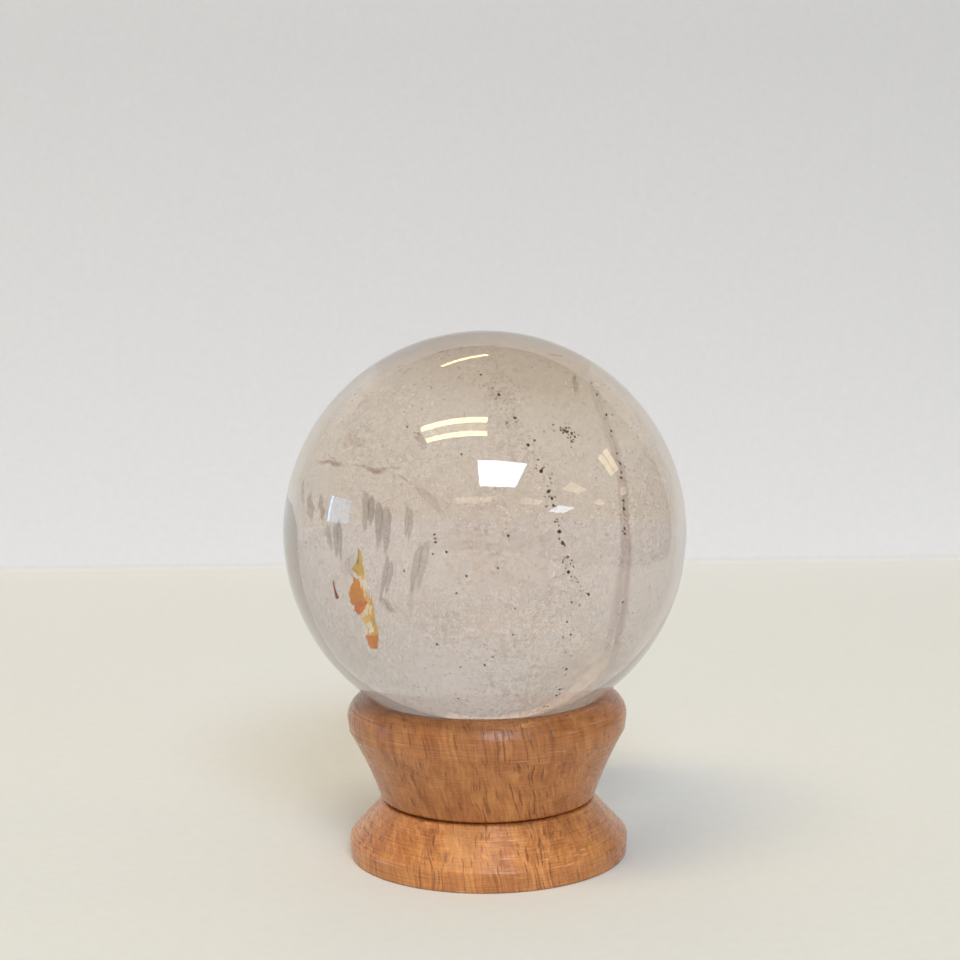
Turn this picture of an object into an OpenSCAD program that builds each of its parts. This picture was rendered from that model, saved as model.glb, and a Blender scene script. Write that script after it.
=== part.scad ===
// Polished quartz sphere resting on a turned wooden stand.
// Millimetres, +Z up, origin at the centre of the stand's underside.

/* [Sphere] */
// Diameter of the quartz sphere
sphere_d = 72.4; // [60:0.2:90]

/* [Stand height] */
// Height of the stand to the top of its rim
stand_h = 29.5; // [27:0.1:40]
// Height of the groove at the waist
waist_z = 10.4; // [8:0.1:13]

/* [Foot] */
// Diameter of the foot
foot_d = 50.8; // [46:0.1:60]
// Height of the upright band round the foot
foot_band_h = 3.5; // [2:0.1:5]
// How much narrower the band is at the table, on each side
foot_taper = 0.2; // [0:0.05:0.6]
// Rounding of the shoulder where the band meets the flare
shoulder_r = 1.2; // [0.4:0.1:2]
// Rounding of the edge that stands on the table
foot_edge_r = 0.4; // [0.2:0.1:0.8]

/* [Waist] */
// Diameter of the waist
waist_d = 38.8; // [34:0.1:43]
// Width of the groove cut round the waist
groove_w = 0.7; // [0.4:0.1:1.2]
// Depth of that groove
groove_depth = 1.5; // [0.6:0.1:2.5]
// Rounding of the cup's lower edge, above the groove
cup_edge_r = 0.8; // [0.3:0.1:1.5]

/* [Rim] */
// Largest diameter of the rim
rim_d = 50.8; // [48:0.1:60]
// Radius of the round that runs over the top of the rim
lip_r = 3.8; // [2.5:0.1:4]
// Height of the narrow band under that round
rim_band_h = 2.4; // [1:0.1:4]
// How much narrower that band is at its lower edge, on each side
rim_taper = 0.3; // [0:0.05:0.8]
// How far the cup's side bows inward between rim and waist
cup_bow = 0.3; // [0:0.05:0.8]

/* [Seat] */
// Diameter of the circle on which the sphere rests
seat_d = 41.2; // [36:0.1:43]
// Width of the bevelled face that holds the sphere
seat_w = 1.2; // [0.6:0.1:2]
// Room between the sphere's lowest point and the hollow below it
hollow_gap = 2.5; // [1:0.1:5]

/* [Hidden] */
$fn = 180;           // steps round a full turn
corner_steps = 8;    // steps in a rounded corner
arc_steps = 24;      // steps in a long arc
quartz_colour = [0.80, 0.76, 0.71, 0.55];
wood_colour = [0.68, 0.45, 0.28];

sphere_r = sphere_d / 2;

// The seat is a bevel that touches the sphere along the circle seat_d.
seat_r = seat_d / 2;
seat_slope = asin(seat_r / sphere_r);
seat_half = seat_w / 2 * [cos(seat_slope), sin(seat_slope)];
lip_centre = [rim_d / 2 - lip_r, stand_h - lip_r];
mouth_r = seat_r + seat_half.x;

// The lip's round ends at its crest, or sooner where the mouth cuts into it.
// Inside the crest the rim runs level to the mouth.
lip_end = mouth_r > lip_centre.x ? acos((mouth_r - lip_centre.x) / lip_r) : 90;
mouth = [mouth_r, lip_centre.y + lip_r * sin(lip_end)];
seat = mouth - seat_half;
seat_inner = seat - seat_half;
sphere_z = seat.y + sqrt(sphere_r ^ 2 - seat_r ^ 2);

// The hollow is a shallow dish that clears the sphere.
hollow_z = sphere_z - sphere_r - hollow_gap;
hollow_depth = seat_inner.y - hollow_z;
hollow_r = (seat_inner.x ^ 2 + hollow_depth ^ 2) / (2 * hollow_depth);

// Corners of the outside, from the table up.
foot_edge = [foot_d / 2 - foot_taper, 0];
shoulder = [foot_d / 2, foot_band_h];
groove_low = [waist_d / 2, waist_z - groove_w / 2];
groove_root = [waist_d / 2 - groove_depth, waist_z];
groove_high = [waist_d / 2, waist_z + groove_w / 2];
rim_low = [rim_d / 2 - rim_taper, lip_centre.y - rim_band_h];

function unit(v) = v / norm(v);

// Points of an arc about c, from angle a0 to angle a1.
function arc(c, r, a0, a1, steps) =
    [for (i = [0:steps]) let (a = a0 + (a1 - a0) * i / steps) c + r * [cos(a), sin(a)]];

// Angle of a vector, as seen from another, without a jump at half a turn.
function angle_near(v, other) =
    let (a = atan2(v.y, v.x), b = atan2(other.y, other.x))
    a - b > 180 ? a - 360 : b - a > 180 ? a + 360 : a;

// The corner b of the path a, b, c, rounded to radius r.
function rounded(a, b, c, r) =
    let (
        u = unit(a - b),
        v = unit(c - b),
        half = acos(u * v) / 2,
        centre = b + unit(u + v) * r / sin(half),
        start = b + u * r / tan(half) - centre,
        stop = b + v * r / tan(half) - centre
    )
    arc(centre, r, angle_near(start, stop), atan2(stop.y, stop.x), corner_steps);

// The way from a to b, bowed to its left by the height bow.
function bowed(a, b, bow) =
    let (n = unit([a.y - b.y, b.x - a.x]))
    [for (i = [0:arc_steps]) let (t = i / arc_steps) a + (b - a) * t + n * bow * 4 * t * (1 - t)];

module quartz_sphere() {
    color(quartz_colour)
        translate([0, 0, sphere_z])
            sphere(r = sphere_r);
}

// Half of the stand's section, from its axis outward.
module stand_section() {
    cup_edge = rounded(groove_root, groove_high, rim_low, cup_edge_r);
    hollow_edge = acos(1 - hollow_depth / hollow_r);
    polygon(concat(
        [[0, 0]],
        rounded([0, 0], foot_edge, shoulder, foot_edge_r),
        rounded(foot_edge, shoulder, groove_low, shoulder_r),
        [groove_low, groove_root],
        cup_edge,
        bowed(cup_edge[corner_steps], rim_low, cup_bow),
        arc(lip_centre, lip_r, 0, lip_end, arc_steps),
        [mouth, seat_inner],
        [for (i = [1:arc_steps])
            let (a = hollow_edge * (1 - i / arc_steps))
            [hollow_r * sin(a), hollow_z + hollow_r * (1 - cos(a))]]
    ));
}

module wooden_stand() {
    color(wood_colour)
        rotate_extrude()
            stand_section();
}

quartz_sphere();
wooden_stand();
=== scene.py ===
# %% [markdown]
# # A quartz sphere on a turned wooden stand
#
# The object is a polished ball of rock crystal that rests in the dished rim of
# a small lathe-turned stand. The ball is clear but far from flawless: healed
# cracks, dark grains and one iron-stained flake hang inside it. Most of the work
# is in how those flaws are seen, because a ball of quartz is a strong lens.
#
# Everything is in metres, +Z is up, and the origin is under the stand's centre.

# %% Load the frame
import math

import bmesh
import bpy
import numpy as np
from mathutils import Matrix, Vector


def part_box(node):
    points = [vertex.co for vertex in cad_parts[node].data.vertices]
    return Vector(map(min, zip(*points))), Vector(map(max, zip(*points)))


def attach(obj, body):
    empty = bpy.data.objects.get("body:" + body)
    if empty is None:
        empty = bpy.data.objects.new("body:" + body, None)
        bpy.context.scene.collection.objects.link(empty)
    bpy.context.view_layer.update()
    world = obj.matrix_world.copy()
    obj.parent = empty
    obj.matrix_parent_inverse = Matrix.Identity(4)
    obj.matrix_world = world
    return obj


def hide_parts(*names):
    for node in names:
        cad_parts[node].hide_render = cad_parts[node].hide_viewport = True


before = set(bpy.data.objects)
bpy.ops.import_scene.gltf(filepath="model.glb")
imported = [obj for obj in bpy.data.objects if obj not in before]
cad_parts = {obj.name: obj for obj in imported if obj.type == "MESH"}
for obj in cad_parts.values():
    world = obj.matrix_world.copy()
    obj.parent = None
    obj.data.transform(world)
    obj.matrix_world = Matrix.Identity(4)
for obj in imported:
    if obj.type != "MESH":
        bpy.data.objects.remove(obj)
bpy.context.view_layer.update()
MM = 0.001

ball_low, ball_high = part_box("quartz_sphere")
_, stand_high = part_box("wooden_stand")
ball_r = (ball_high.z - ball_low.z) / 2
ball_centre = np.array([0.0, 0.0, (ball_high.z + ball_low.z) / 2])
print("ball radius", round(ball_r / MM, 2), "mm, centre", round(ball_centre[2] / MM, 2), "mm up")

# %% [markdown]
# ## Camera
#
# A long lens from about a third of a metre away looks slightly down on the
# ball. The camera is made first, because the flaws are placed by what can be
# seen from the front. A hand-held camera is never quite level, so it has a
# little roll and yaw as well as its pitch.

# %% Camera
CAMERA_PLACE = (0.0, -0.3395, 0.1076)
CAMERA_PITCH, CAMERA_YAW, CAMERA_ROLL = 6.6, 0.125, -0.73  # degrees
LENS_MM, SENSOR_MM = 71.25, 36.0

camera = bpy.data.objects.new("camera", bpy.data.cameras.new("camera"))
bpy.context.scene.collection.objects.link(camera)
bpy.context.scene.camera = camera
camera.data.lens = LENS_MM
camera.data.sensor_width = SENSOR_MM
camera.data.clip_start = 0.01
turn_z = Matrix.Rotation(math.radians(CAMERA_YAW), 4, "Z")
turn_x = Matrix.Rotation(math.radians(90 - CAMERA_PITCH), 4, "X")
turn_view = Matrix.Rotation(math.radians(CAMERA_ROLL), 4, "Z")
camera.matrix_world = Matrix.Translation(CAMERA_PLACE) @ turn_z @ turn_x @ turn_view
bpy.context.scene.view_settings.view_transform = "Standard"
print("camera", round((Vector(CAMERA_PLACE) - Vector(ball_centre)).length / MM), "mm from the ball")

# %% [markdown]
# ## Helpers for meshes
#
# Each new piece is a surface worked out with numpy: a grid of points, one for
# each pair of values of two parameters. The pieces of the object are closed
# solids: the grid wraps round along its second parameter, and its first and last
# rows are drawn together to a pole. Only the sheet they stand on is open, and
# small grains have a few faces of their own. Blender then turns all faces
# outward. A piece can carry a flat coordinate and some amounts at each point,
# which its material reads.

# %% Mesh helpers
def grid_faces(rows, columns, wrap):
    """Four-sided faces between neighbours in a rows x columns grid, row by row."""
    last = columns if wrap else columns - 1
    i, j = np.meshgrid(np.arange(rows - 1), np.arange(last), indexing="ij")
    k = (j + 1) % columns
    corners = [i * columns + j, i * columns + k, (i + 1) * columns + k, (i + 1) * columns + j]
    return np.stack(corners, -1).reshape(-1, 4)


def closed_faces(rows, columns):
    """A wrapped grid's faces, and a fan at each end to a pole: the poles are the last two points."""
    j = np.arange(columns)
    k, low, high, last = (j + 1) % columns, rows * columns, rows * columns + 1, (rows - 1) * columns
    fan_low = np.stack([low + 0 * j, k, j], -1)
    fan_high = np.stack([high + 0 * j, last + j, last + k], -1)
    return grid_faces(rows, columns, True).tolist() + fan_low.tolist() + fan_high.tolist()


def with_poles(grid):
    """The points of a grid in one list, with the means of its first and last rows added as poles."""
    flat = grid.reshape(-1, grid.shape[-1])
    return np.concatenate([flat, grid[:1].mean(1), grid[-1:].mean(1)])


def make_piece(name, points, faces, flat=None, smooth=True, **marks):
    """A mesh object at the origin. At each point, flat holds a pair and each mark a number."""
    mesh = bpy.data.meshes.new(name)
    mesh.from_pydata(points.tolist(), [], faces)
    shell = bmesh.new()
    shell.from_mesh(mesh)
    bmesh.ops.recalc_face_normals(shell, faces=shell.faces[:])
    shell.to_mesh(mesh)
    shell.free()
    mesh.polygons.foreach_set("use_smooth", np.full(len(mesh.polygons), smooth))
    if flat is not None:
        corner = np.zeros(len(mesh.loops), np.int32)
        mesh.loops.foreach_get("vertex_index", corner)
        mesh.uv_layers.new(name="flat").data.foreach_set("uv", flat[corner].astype(np.float32).ravel())
    for mark, values in marks.items():
        mesh.attributes.new(mark, "FLOAT", "POINT").data.foreach_set("value", values.astype(np.float32))
    piece = bpy.data.objects.new(name, mesh)
    bpy.context.scene.collection.objects.link(piece)
    return piece


def finish_piece(piece, material, slot_name, *replaced):
    """Gives a piece its material and body, and hides the CAD nodes it stands for. slot_name is not used.
    """
    piece.data.materials.append(material)
    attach(piece, "root")
    if replaced:
        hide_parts(*replaced)
    print(piece.name, len(piece.data.vertices), "points", len(piece.data.polygons), "faces")
    return piece


# %% [markdown]
# ## Helpers for materials
#
# A material is a tree of small nodes. One helper makes a node, sets its choices
# and fills its inputs, where an input is either a plain value or the output of
# another node. The others name what is done most often: arithmetic, noise,
# stretching a value from one range to another, and mixing or multiplying colours.

# %% Material helpers
def fill_inputs(tree, made, inputs):
    """The node made, with each input given a plain value or a link from another node's output."""
    for key, value in inputs.items():
        if isinstance(value, bpy.types.NodeSocket):
            tree.links.new(value, made.inputs[key])
        else:
            made.inputs[key].default_value = value
    return made


def place(tree, kind, inputs=None, **choices):
    """A shader node of this kind, with its choices set and its inputs filled."""
    made = tree.nodes.new("ShaderNode" + kind)
    for key, value in choices.items():
        setattr(made, key, value)
    return fill_inputs(tree, made, inputs or {})


def arithmetic(tree, operation, *values, clamp=False):
    """The result of a Math node on these values."""
    inputs = dict(enumerate(values))
    return place(tree, "Math", inputs, operation=operation, use_clamp=clamp).outputs[0]


def product(tree, first, *others):
    """Several values multiplied, one after another."""
    for other in others:
        first = arithmetic(tree, "MULTIPLY", first, other)
    return first


def times(tree, first, second):
    """Two colours or vectors multiplied, part by part."""
    return place(tree, "VectorMath", {0: first, 1: second}, operation="MULTIPLY").outputs["Vector"]


def grey(level):
    """The grey of this level, from 0 for black to 1 for white."""
    return (level, level, level)


def stretch(tree, value, low, high, to_low=0.0, to_high=1.0):
    """The value brought from low..high to to_low..to_high, and held there outside."""
    ends = {"Value": value, "From Min": low, "From Max": high, "To Min": to_low, "To Max": to_high}
    return place(tree, "MapRange", ends).outputs["Result"]


def noise(tree, vector, scale, detail=2.0, roughness=0.5):
    """Smooth noise from 0 to 1 at this vector."""
    inputs = {"Vector": vector, "Scale": scale, "Detail": detail, "Roughness": roughness}
    return place(tree, "TexNoise", inputs).outputs["Fac"]


def scaled(tree, vector, scale):
    """The vector with each of its parts multiplied."""
    return place(tree, "Mapping", {"Vector": vector, "Scale": scale}).outputs["Vector"]


def ramp(tree, factor, *stops):
    """The colour of factor on a ramp with these (position, colour) stops."""
    made = place(tree, "ValToRGB", {"Fac": factor})
    band = made.color_ramp.elements
    while len(band) < len(stops):
        band.new(0.5)
    for element, (position, colour) in zip(band, stops):
        element.position, element.color = position, (*colour, 1)
    return made.outputs["Color"]


def blend(tree, factor, first, second):
    """A mix of two colours, where each is a colour or the output of a node."""
    colours = [c if isinstance(c, bpy.types.NodeSocket) else (*c, 1) for c in (first, second)]
    inputs = {"Fac": factor, "Color1": colours[0], "Color2": colours[1]}
    return place(tree, "MixRGB", inputs).outputs["Color"]


def object_place(tree):
    """The point's place in the piece, which doesn't slide or turn as the piece moves."""
    return place(tree, "TexCoord").outputs["Object"]


def new_material(name):
    """An empty material, as itself, its node tree and its Principled shader."""
    material = bpy.data.materials.new(name)
    material.use_nodes = True
    return material, material.node_tree, material.node_tree.nodes["Principled BSDF"]


# %% [markdown]
# ## Table and wall
#
# The table and the wall behind it are one pale sheet that turns up where they
# meet, like a studio's paper sweep. The table is a little creamier than the wall.
# Painted light makes the table lighter further back, painted shade greys the wall
# slowly as it rises, and the bend where they meet, which faces the lamps, is
# dimmed by painted shade. The sheet ends to the right and overhead, with a
# darker room beyond. A polished ball shows that: its skin mirrors the edge as a
# faint arc near the rim. What really stands to the right isn't known.
# This outline is a guess, chosen because it brings the arc to its right place.

# %% Table and wall
SWEEP_BACK, SWEEP_LEFT, WALL_HEIGHT, COVE_R = 0.3265, -1.6, 0.400, 0.0015
FLOOR_EDGE = [(-1.6, 0.250), (0.150, 0.250), (0.310, 0.425)]  # y, and the right edge's x there
WALL_RIGHT = 0.445
# Painted shade for the bend, which faces the lamps and would be the brightest.
BEND_SHADE = (0.93, 0.93, 0.93)  # the bend faces the lamps, so it would be the brightest
# Painted light and shade: the table is lighter further back, and the wall greys from its foot up.
FLOOR_NEAR, FLOOR_FAR_LIT = (0.722, 0.720, 0.697), (0.784, 0.774, 0.746)
WALL_FOOT, WALL_MIDDLE_SHADED = (0.812, 0.799, 0.818), (0.680, 0.670, 0.685)


def sweep_surface():
    """Floor, quarter-round cove and wall: a profile in Y and Z, carried along X to its right edge."""
    angle = np.linspace(-np.pi / 2, 0, 25)
    cove = np.stack([SWEEP_BACK - COVE_R + COVE_R * np.cos(angle), COVE_R + COVE_R * np.sin(angle)], -1)
    floor = [[y, 0.0] for y, _ in FLOOR_EDGE]
    profile = np.concatenate([floor, cove, [[SWEEP_BACK, WALL_HEIGHT]]])
    right = np.array([x for _, x in FLOOR_EDGE] + [WALL_RIGHT] * (len(profile) - len(floor)))
    sides = [np.insert(profile, 0, x, axis=1) for x in (SWEEP_LEFT, right)]
    return np.stack(sides, 1).reshape(-1, 3), grid_faces(len(profile), 2, False).tolist()


paper, tree, shader = new_material("pale sweep")
where = place(tree, "SeparateXYZ", {0: object_place(tree)}).outputs
floor_shade = blend(tree, stretch(tree, where["Y"], -0.08, 0.16), FLOOR_NEAR, FLOOR_FAR_LIT)
wall_shade = ramp(tree, stretch(tree, where["Z"], 0.0, 0.20), (0.03, WALL_FOOT), (0.90, WALL_MIDDLE_SHADED))
shade = blend(tree, stretch(tree, where["Z"], 0.0, 0.002), floor_shade, wall_shade)
mottle = stretch(tree, noise(tree, object_place(tree), 420.0, 3.0, 0.6), 0.3, 0.7, 0.985, 1.015)
shade = times(tree, shade, mottle)
# Painted shade: the bend is dimmed where the sheet turns up.
bend_shade_stops = ((0.0, grey(1)), (0.10, BEND_SHADE), (0.40, BEND_SHADE), (0.75, grey(1)))
bend = ramp(tree, stretch(tree, where["Z"], 0.0, 2 * COVE_R), *bend_shade_stops)
shade = times(tree, shade, bend)
tree.links.new(shade, shader.inputs["Base Color"])
shader.inputs["Roughness"].default_value = 0.9
shader.inputs["Specular IOR Level"].default_value = 0.1

sweep = make_piece("sweep", *sweep_surface(), smooth=False)
sweep.data.materials.append(paper)

# %% [markdown]
# ## Light
#
# A glossy ball shows each lamp as a small bright shape, and a sphere bends them
# all, so the lamps are laid out as one flat ceiling of cool panels and warm
# fixtures, with a window low on the left. Their places are shares of the
# ceiling's height, so another height nearly keeps each reflection's place. The
# nearest panel is cool and the nearest twin tubes are warm, and they throw the
# two differently tinted shadows on the table. Soft light from all round fills
# the rest. Mirrored, the room is dark to the right and overhead and bright to
# the left, so mirrored rays get a strength of their own from the world, while
# rays that are seen through the glass keep the plain one.

# %% Light
CEILING = 1.5  # metres above the ball's centre
COOL, BLUE = (0.66, 0.82, 1.0), (0.30, 0.60, 1.0)
WARM, PALE_WARM = (1.0, 0.80, 0.45), (1.0, 0.78, 0.52)
TUBE_GAP = 0.005  # between a tube and the glow beside it, both sides together
FAR_DEPTH = 0.30  # of a far fixture, across its length


def lamp_at(name, spot, facing, size, radiance, colour, turn=0):
    """A flat lamp at spot. Its power is pi times its radiance and its area."""
    lamp = bpy.data.lights.new(name, "AREA")
    lamp.shape = "RECTANGLE"
    lamp.size, lamp.size_y = size
    lamp.energy = radiance * math.pi * size[0] * size[1]
    lamp.color = colour
    lamp_object = bpy.data.objects.new(name, lamp)
    aim = Vector(facing).to_track_quat("-Z", "Y").to_matrix().to_4x4()
    spin = Matrix.Rotation(math.radians(turn), 4, "Z")
    lamp_object.matrix_world = Matrix.Translation(spot) @ aim @ spin
    lamp_object.visible_camera = False
    bpy.context.scene.collection.objects.link(lamp_object)


def ceiling_lamp(name, middle, size, radiance, colour, turn=0):
    """A lamp in the ceiling, facing down. middle and size are shares of the ceiling's height."""
    spot = (middle[0] * CEILING, middle[1] * CEILING, ball_centre[2] + CEILING)
    full_size = (size[0] * CEILING, size[1] * CEILING)
    lamp_at(name, spot, (0, 0, -1), full_size, radiance, colour, turn)


def twin_tubes(name, middle, length, gap, width, tube, glow, turn=0):
    """A fixture with two tubes and a faint glow between them."""
    for side, y in (("front", -gap / 2), ("back", gap / 2)):
        ceiling_lamp(f"{name}_{side}", (middle[0], middle[1] + y), (length, width), tube, WARM, turn)
    ceiling_lamp(f"{name}_glow", middle, (length, gap - width - TUBE_GAP), glow, WARM, turn)


ceiling_lamp("panel", (0.237, -1.24), (0.63, 0.64), 16.0, COOL)
twin_tubes("tubes_left", (-0.275, -0.396), 0.62, 0.178, 0.070, 17.5, 2.2, -4.5)
twin_tubes("tubes_right", (1.875, -0.033), 0.74, 0.190, 0.13, 4.8, 2.2)
ceiling_lamp("tube_rear", (-0.114, 0.625), (0.33, 0.045), 11.0, WARM, 26)
ceiling_lamp("far_panel", (2.37, -2.40), (0.74, 0.62), 9.0, COOL)
FAR_FIXTURES = [  # place, length and radiance
    (-0.24, -2.10, 0.78, 2.9), (1.11, -2.12, 0.58, 2.8), (1.80, -1.18, 0.60, 3.2),
    (3.41, -1.25, 0.68, 3.0), (3.54, -0.04, 0.70, 3.0),
]
for number, (x, y, length, radiance) in enumerate(FAR_FIXTURES):
    ceiling_lamp(f"far_fixture_{number}", (x, y), (length, FAR_DEPTH), radiance, PALE_WARM)
lamp_at("window", (-1.2, -0.01, 0.255), (1, 0, 0), (0.34, 0.21), 3.0, BLUE, 8)
lamp_at("window_edge", (-1.19, 0.155, 0.235), (1, 0, 0), (0.035, 0.20), 9.0, BLUE, 4)

# %% The room
ROOM, ROOM_LIGHT, MIRRORED_LEFT, MIRRORED_RIGHT = (1.0, 0.985, 0.955), 0.38, 0.40, 0.13

world = bpy.data.worlds.new("room")
bpy.context.scene.world = world
world.use_nodes = True
tree = world.node_tree
toward = place(tree, "SeparateXYZ", {0: place(tree, "TexCoord").outputs["Generated"]}).outputs["X"]
mirrored = stretch(tree, toward, -0.40, -0.20, MIRRORED_LEFT, MIRRORED_RIGHT)
path = place(tree, "LightPath").outputs
not_through = arithmetic(tree, "SUBTRACT", 1.0, path["Is Transmission Ray"])
is_mirrored = product(tree, path["Is Glossy Ray"], not_through)
change = product(tree, is_mirrored, arithmetic(tree, "SUBTRACT", mirrored, ROOM_LIGHT))
tree.links.new(arithmetic(tree, "ADD", ROOM_LIGHT, change), tree.nodes["Background"].inputs["Strength"])
tree.nodes["Background"].inputs["Color"].default_value = (*ROOM, 1)

# %% [markdown]
# ## The ball
#
# Quartz bends light a little more than window glass, with an index of 1.544.
# The ball is a sphere whose rows are rings of latitude, fine enough that no
# facet shows in the bent image. A small absorption all through it gives the
# warm, faintly smoky colour, which deepens with the thickness that light
# crosses, and nothing is painted on its skin.

# %% The ball
BALL_ROWS, BALL_COLUMNS = 160, 300
QUARTZ_INDEX = 1.544
SMOKE_TINT, SMOKE_DENSITY = (0.84, 0.69, 0.57, 1), 7.5


def sphere_surface(radius, centre, rows, columns):
    """Point at latitude a and longitude b: centre + radius (cos a cos b, cos a sin b, sin a)."""
    latitude = np.linspace(-np.pi / 2, np.pi / 2, rows + 2)[1:-1]
    longitude = np.linspace(0, 2 * np.pi, columns, endpoint=False)
    a, b = np.meshgrid(latitude, longitude, indexing="ij")
    rings = np.stack([np.cos(a) * np.cos(b), np.cos(a) * np.sin(b), np.sin(a)], -1).reshape(-1, 3)
    points = np.concatenate([rings, [[0, 0, -1], [0, 0, 1]]]) * radius + centre
    return points, closed_faces(rows, columns)


quartz, tree, shader = new_material("smoky quartz")
shader.inputs["Base Color"].default_value = (1, 1, 1, 1)
shader.inputs["Transmission Weight"].default_value = 1.0
shader.inputs["Roughness"].default_value = 0.0
shader.inputs["IOR"].default_value = QUARTZ_INDEX
smoke = place(tree, "VolumeAbsorption", {"Color": SMOKE_TINT, "Density": SMOKE_DENSITY})
tree.links.new(smoke.outputs["Volume"], tree.nodes["Material Output"].inputs["Volume"])

ball = make_piece("quartz_ball", *sphere_surface(ball_r, ball_centre, BALL_ROWS, BALL_COLUMNS))
finish_piece(ball, quartz, "quartz", "quartz_sphere")

# %% [markdown]
# ## Seeing into a lens
#
# A flaw inside the ball isn't seen where it is. Light from it bends as it leaves
# the polished skin, so the whole inside looks enlarged and shifted. To put a flaw
# where it should be seen, the sight line is followed the other way: from the
# camera to the face of the ball, bent there by the law of refraction, and then a
# chosen share of the way through to the far side. The face is measured from its
# centre as across and up, from -1 to 1, and depth runs from 0 at the near skin to
# 1 at the far one. The flaws then have true places in the stone, and from any
# other side they are seen through the lens as real ones would be.

# %% From the face of the ball into the stone
eye = np.array(CAMERA_PLACE)
reach = ball_centre - eye
sight = reach / np.linalg.norm(reach)
face_right = np.array(camera.matrix_world.col[0][:3])
face_up = np.cross(face_right, sight)
face_r = ball_r / math.sqrt(1 - (ball_r / np.linalg.norm(reach)) ** 2)


def seen_at(across, up, depth):
    """The place in the stone seen at (across, up) on the face, a share depth along the bent sight line.

    With d the sight line, n the skin's normal, c = -n.d and e = 1 / index, the bent line is
    e d + (e c - sqrt(1 - e^2 (1 - c^2))) n. It crosses the ball for 2 r times its own -cosine to n.
    """
    across, up, depth = np.broadcast_arrays(across, up, depth)
    target = ball_centre + face_r * (across[..., None] * face_right + up[..., None] * face_up)
    d = target - eye
    d = d / np.linalg.norm(d, axis=-1, keepdims=True)
    along = (reach * d).sum(-1)
    miss = np.maximum(ball_r ** 2 - (reach ** 2).sum() + along ** 2, 0)
    skin = eye + d * (along - np.sqrt(miss))[..., None]
    n = (skin - ball_centre) / ball_r
    c, e = -(n * d).sum(-1, keepdims=True), 1 / QUARTZ_INDEX
    bent = e * d + (e * c - np.sqrt(1 - e ** 2 * (1 - c ** 2))) * n
    through = -2 * ball_r * (bent * n).sum(-1)
    return skin + bent * (depth * through)[..., None]


print("far skin behind the centre of the face:", np.round(seen_at(0.0, 0.0, 1.0) / MM, 1))

# %% [markdown]
# ## Shapes of flaws
#
# Three shapes make every flaw. Grains are specks of another mineral or tiny
# cavities, and each is an octahedron, squeezed and turned at random: with
# hundreds of them a finer shape would be wasted. Lenses are thin solids with a
# given outline, from a chip a few millimetres long to a veil that spans the
# stone. Blades are thin solids that follow a path. All are made on the face of
# the ball, where they are easy to think about, and carried into the stone.

# %% Grains
OCTAHEDRON = np.array([[1, 0, 0], [-1, 0, 0], [0, 1, 0], [0, -1, 0], [0, 0, 1], [0, 0, -1]], float)
OCTAHEDRON_FACES = [
    [0, 2, 4], [2, 1, 4], [1, 3, 4], [3, 0, 4], [2, 0, 5], [1, 2, 5], [3, 1, 5], [0, 3, 5],
]


def grain_surfaces(places, sizes, stretching, rng):
    """An octahedron at each place: its corners are scaled, then turned at random.

    The turn is the Q of a QR split of a random matrix. Where it would mirror the shape, a sign
    is changed, so that no grain is turned inside out.
    """
    turn, _ = np.linalg.qr(rng.normal(size=(len(places), 3, 3)))
    turn[:, :, 0] *= np.sign(np.linalg.det(turn))[:, None]
    shape = sizes[:, None, None] * (1 + (rng.uniform(size=(len(places), 1, 3)) - 0.5) * stretching)
    corners = np.einsum("nij,nkj->nki", turn, OCTAHEDRON * shape) + places[:, None, :]
    faces = np.array(OCTAHEDRON_FACES) + 6 * np.arange(len(places))[:, None, None]
    return corners.reshape(-1, 3), faces.reshape(-1, 3).tolist()


# %% Lenses
def lens_surface(outline, depth, thickness, rings=5, steps=56, ragged=0.0, seed=0):
    """A thin closed lens: centre + cos a (outline - centre), with its depth moved by thickness sin a.

    a runs from -90 to 90 degrees, so the two faces meet at the outline. depth is a function
    of (across, up).
    """
    rng = np.random.default_rng(seed)
    corners = np.array(outline + outline[:1], float)
    t, known = np.linspace(0, 1, steps, endpoint=False), np.linspace(0, 1, len(corners))
    edge = np.stack([np.interp(t, known, corners[:, axis]) for axis in (0, 1)], -1)
    edge += ragged * rng.uniform(-1, 1, edge.shape)
    centre = edge.mean(0)
    a = np.linspace(-np.pi / 2, np.pi / 2, 2 * rings + 3)[1:-1]
    flat = centre + np.cos(a)[:, None, None] * (edge - centre)
    offset = np.broadcast_to(thickness * np.sin(a)[:, None, None], flat.shape[:2] + (1,))
    flat, offset = with_poles(flat), with_poles(offset)[:, 0]
    offset[-2:] = -thickness, thickness
    points = seen_at(flat[:, 0], flat[:, 1], depth(flat[:, 0], flat[:, 1]) + offset)
    return points, closed_faces(2 * rings + 1, steps), flat


# %% Blades
def smooth_path(points, steps):
    """A smooth curve through given points: a cubic with Catmull-Rom slopes between each pair."""
    p = np.array(points, float)
    p = np.concatenate([[2 * p[0] - p[1]], p, [2 * p[-1] - p[-2]]])
    t = np.linspace(0, len(p) - 3, steps)
    i = np.minimum(t.astype(int), len(p) - 4)
    f = (t - i)[:, None]
    a, b, c, d = p[i], p[i + 1], p[i + 2], p[i + 3]
    bend, twist = 2 * a - 5 * b + 4 * c - d, 3 * b - a - 3 * c + d
    return 0.5 * (2 * b + (c - a) * f + bend * f ** 2 + twist * f ** 3)


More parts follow.
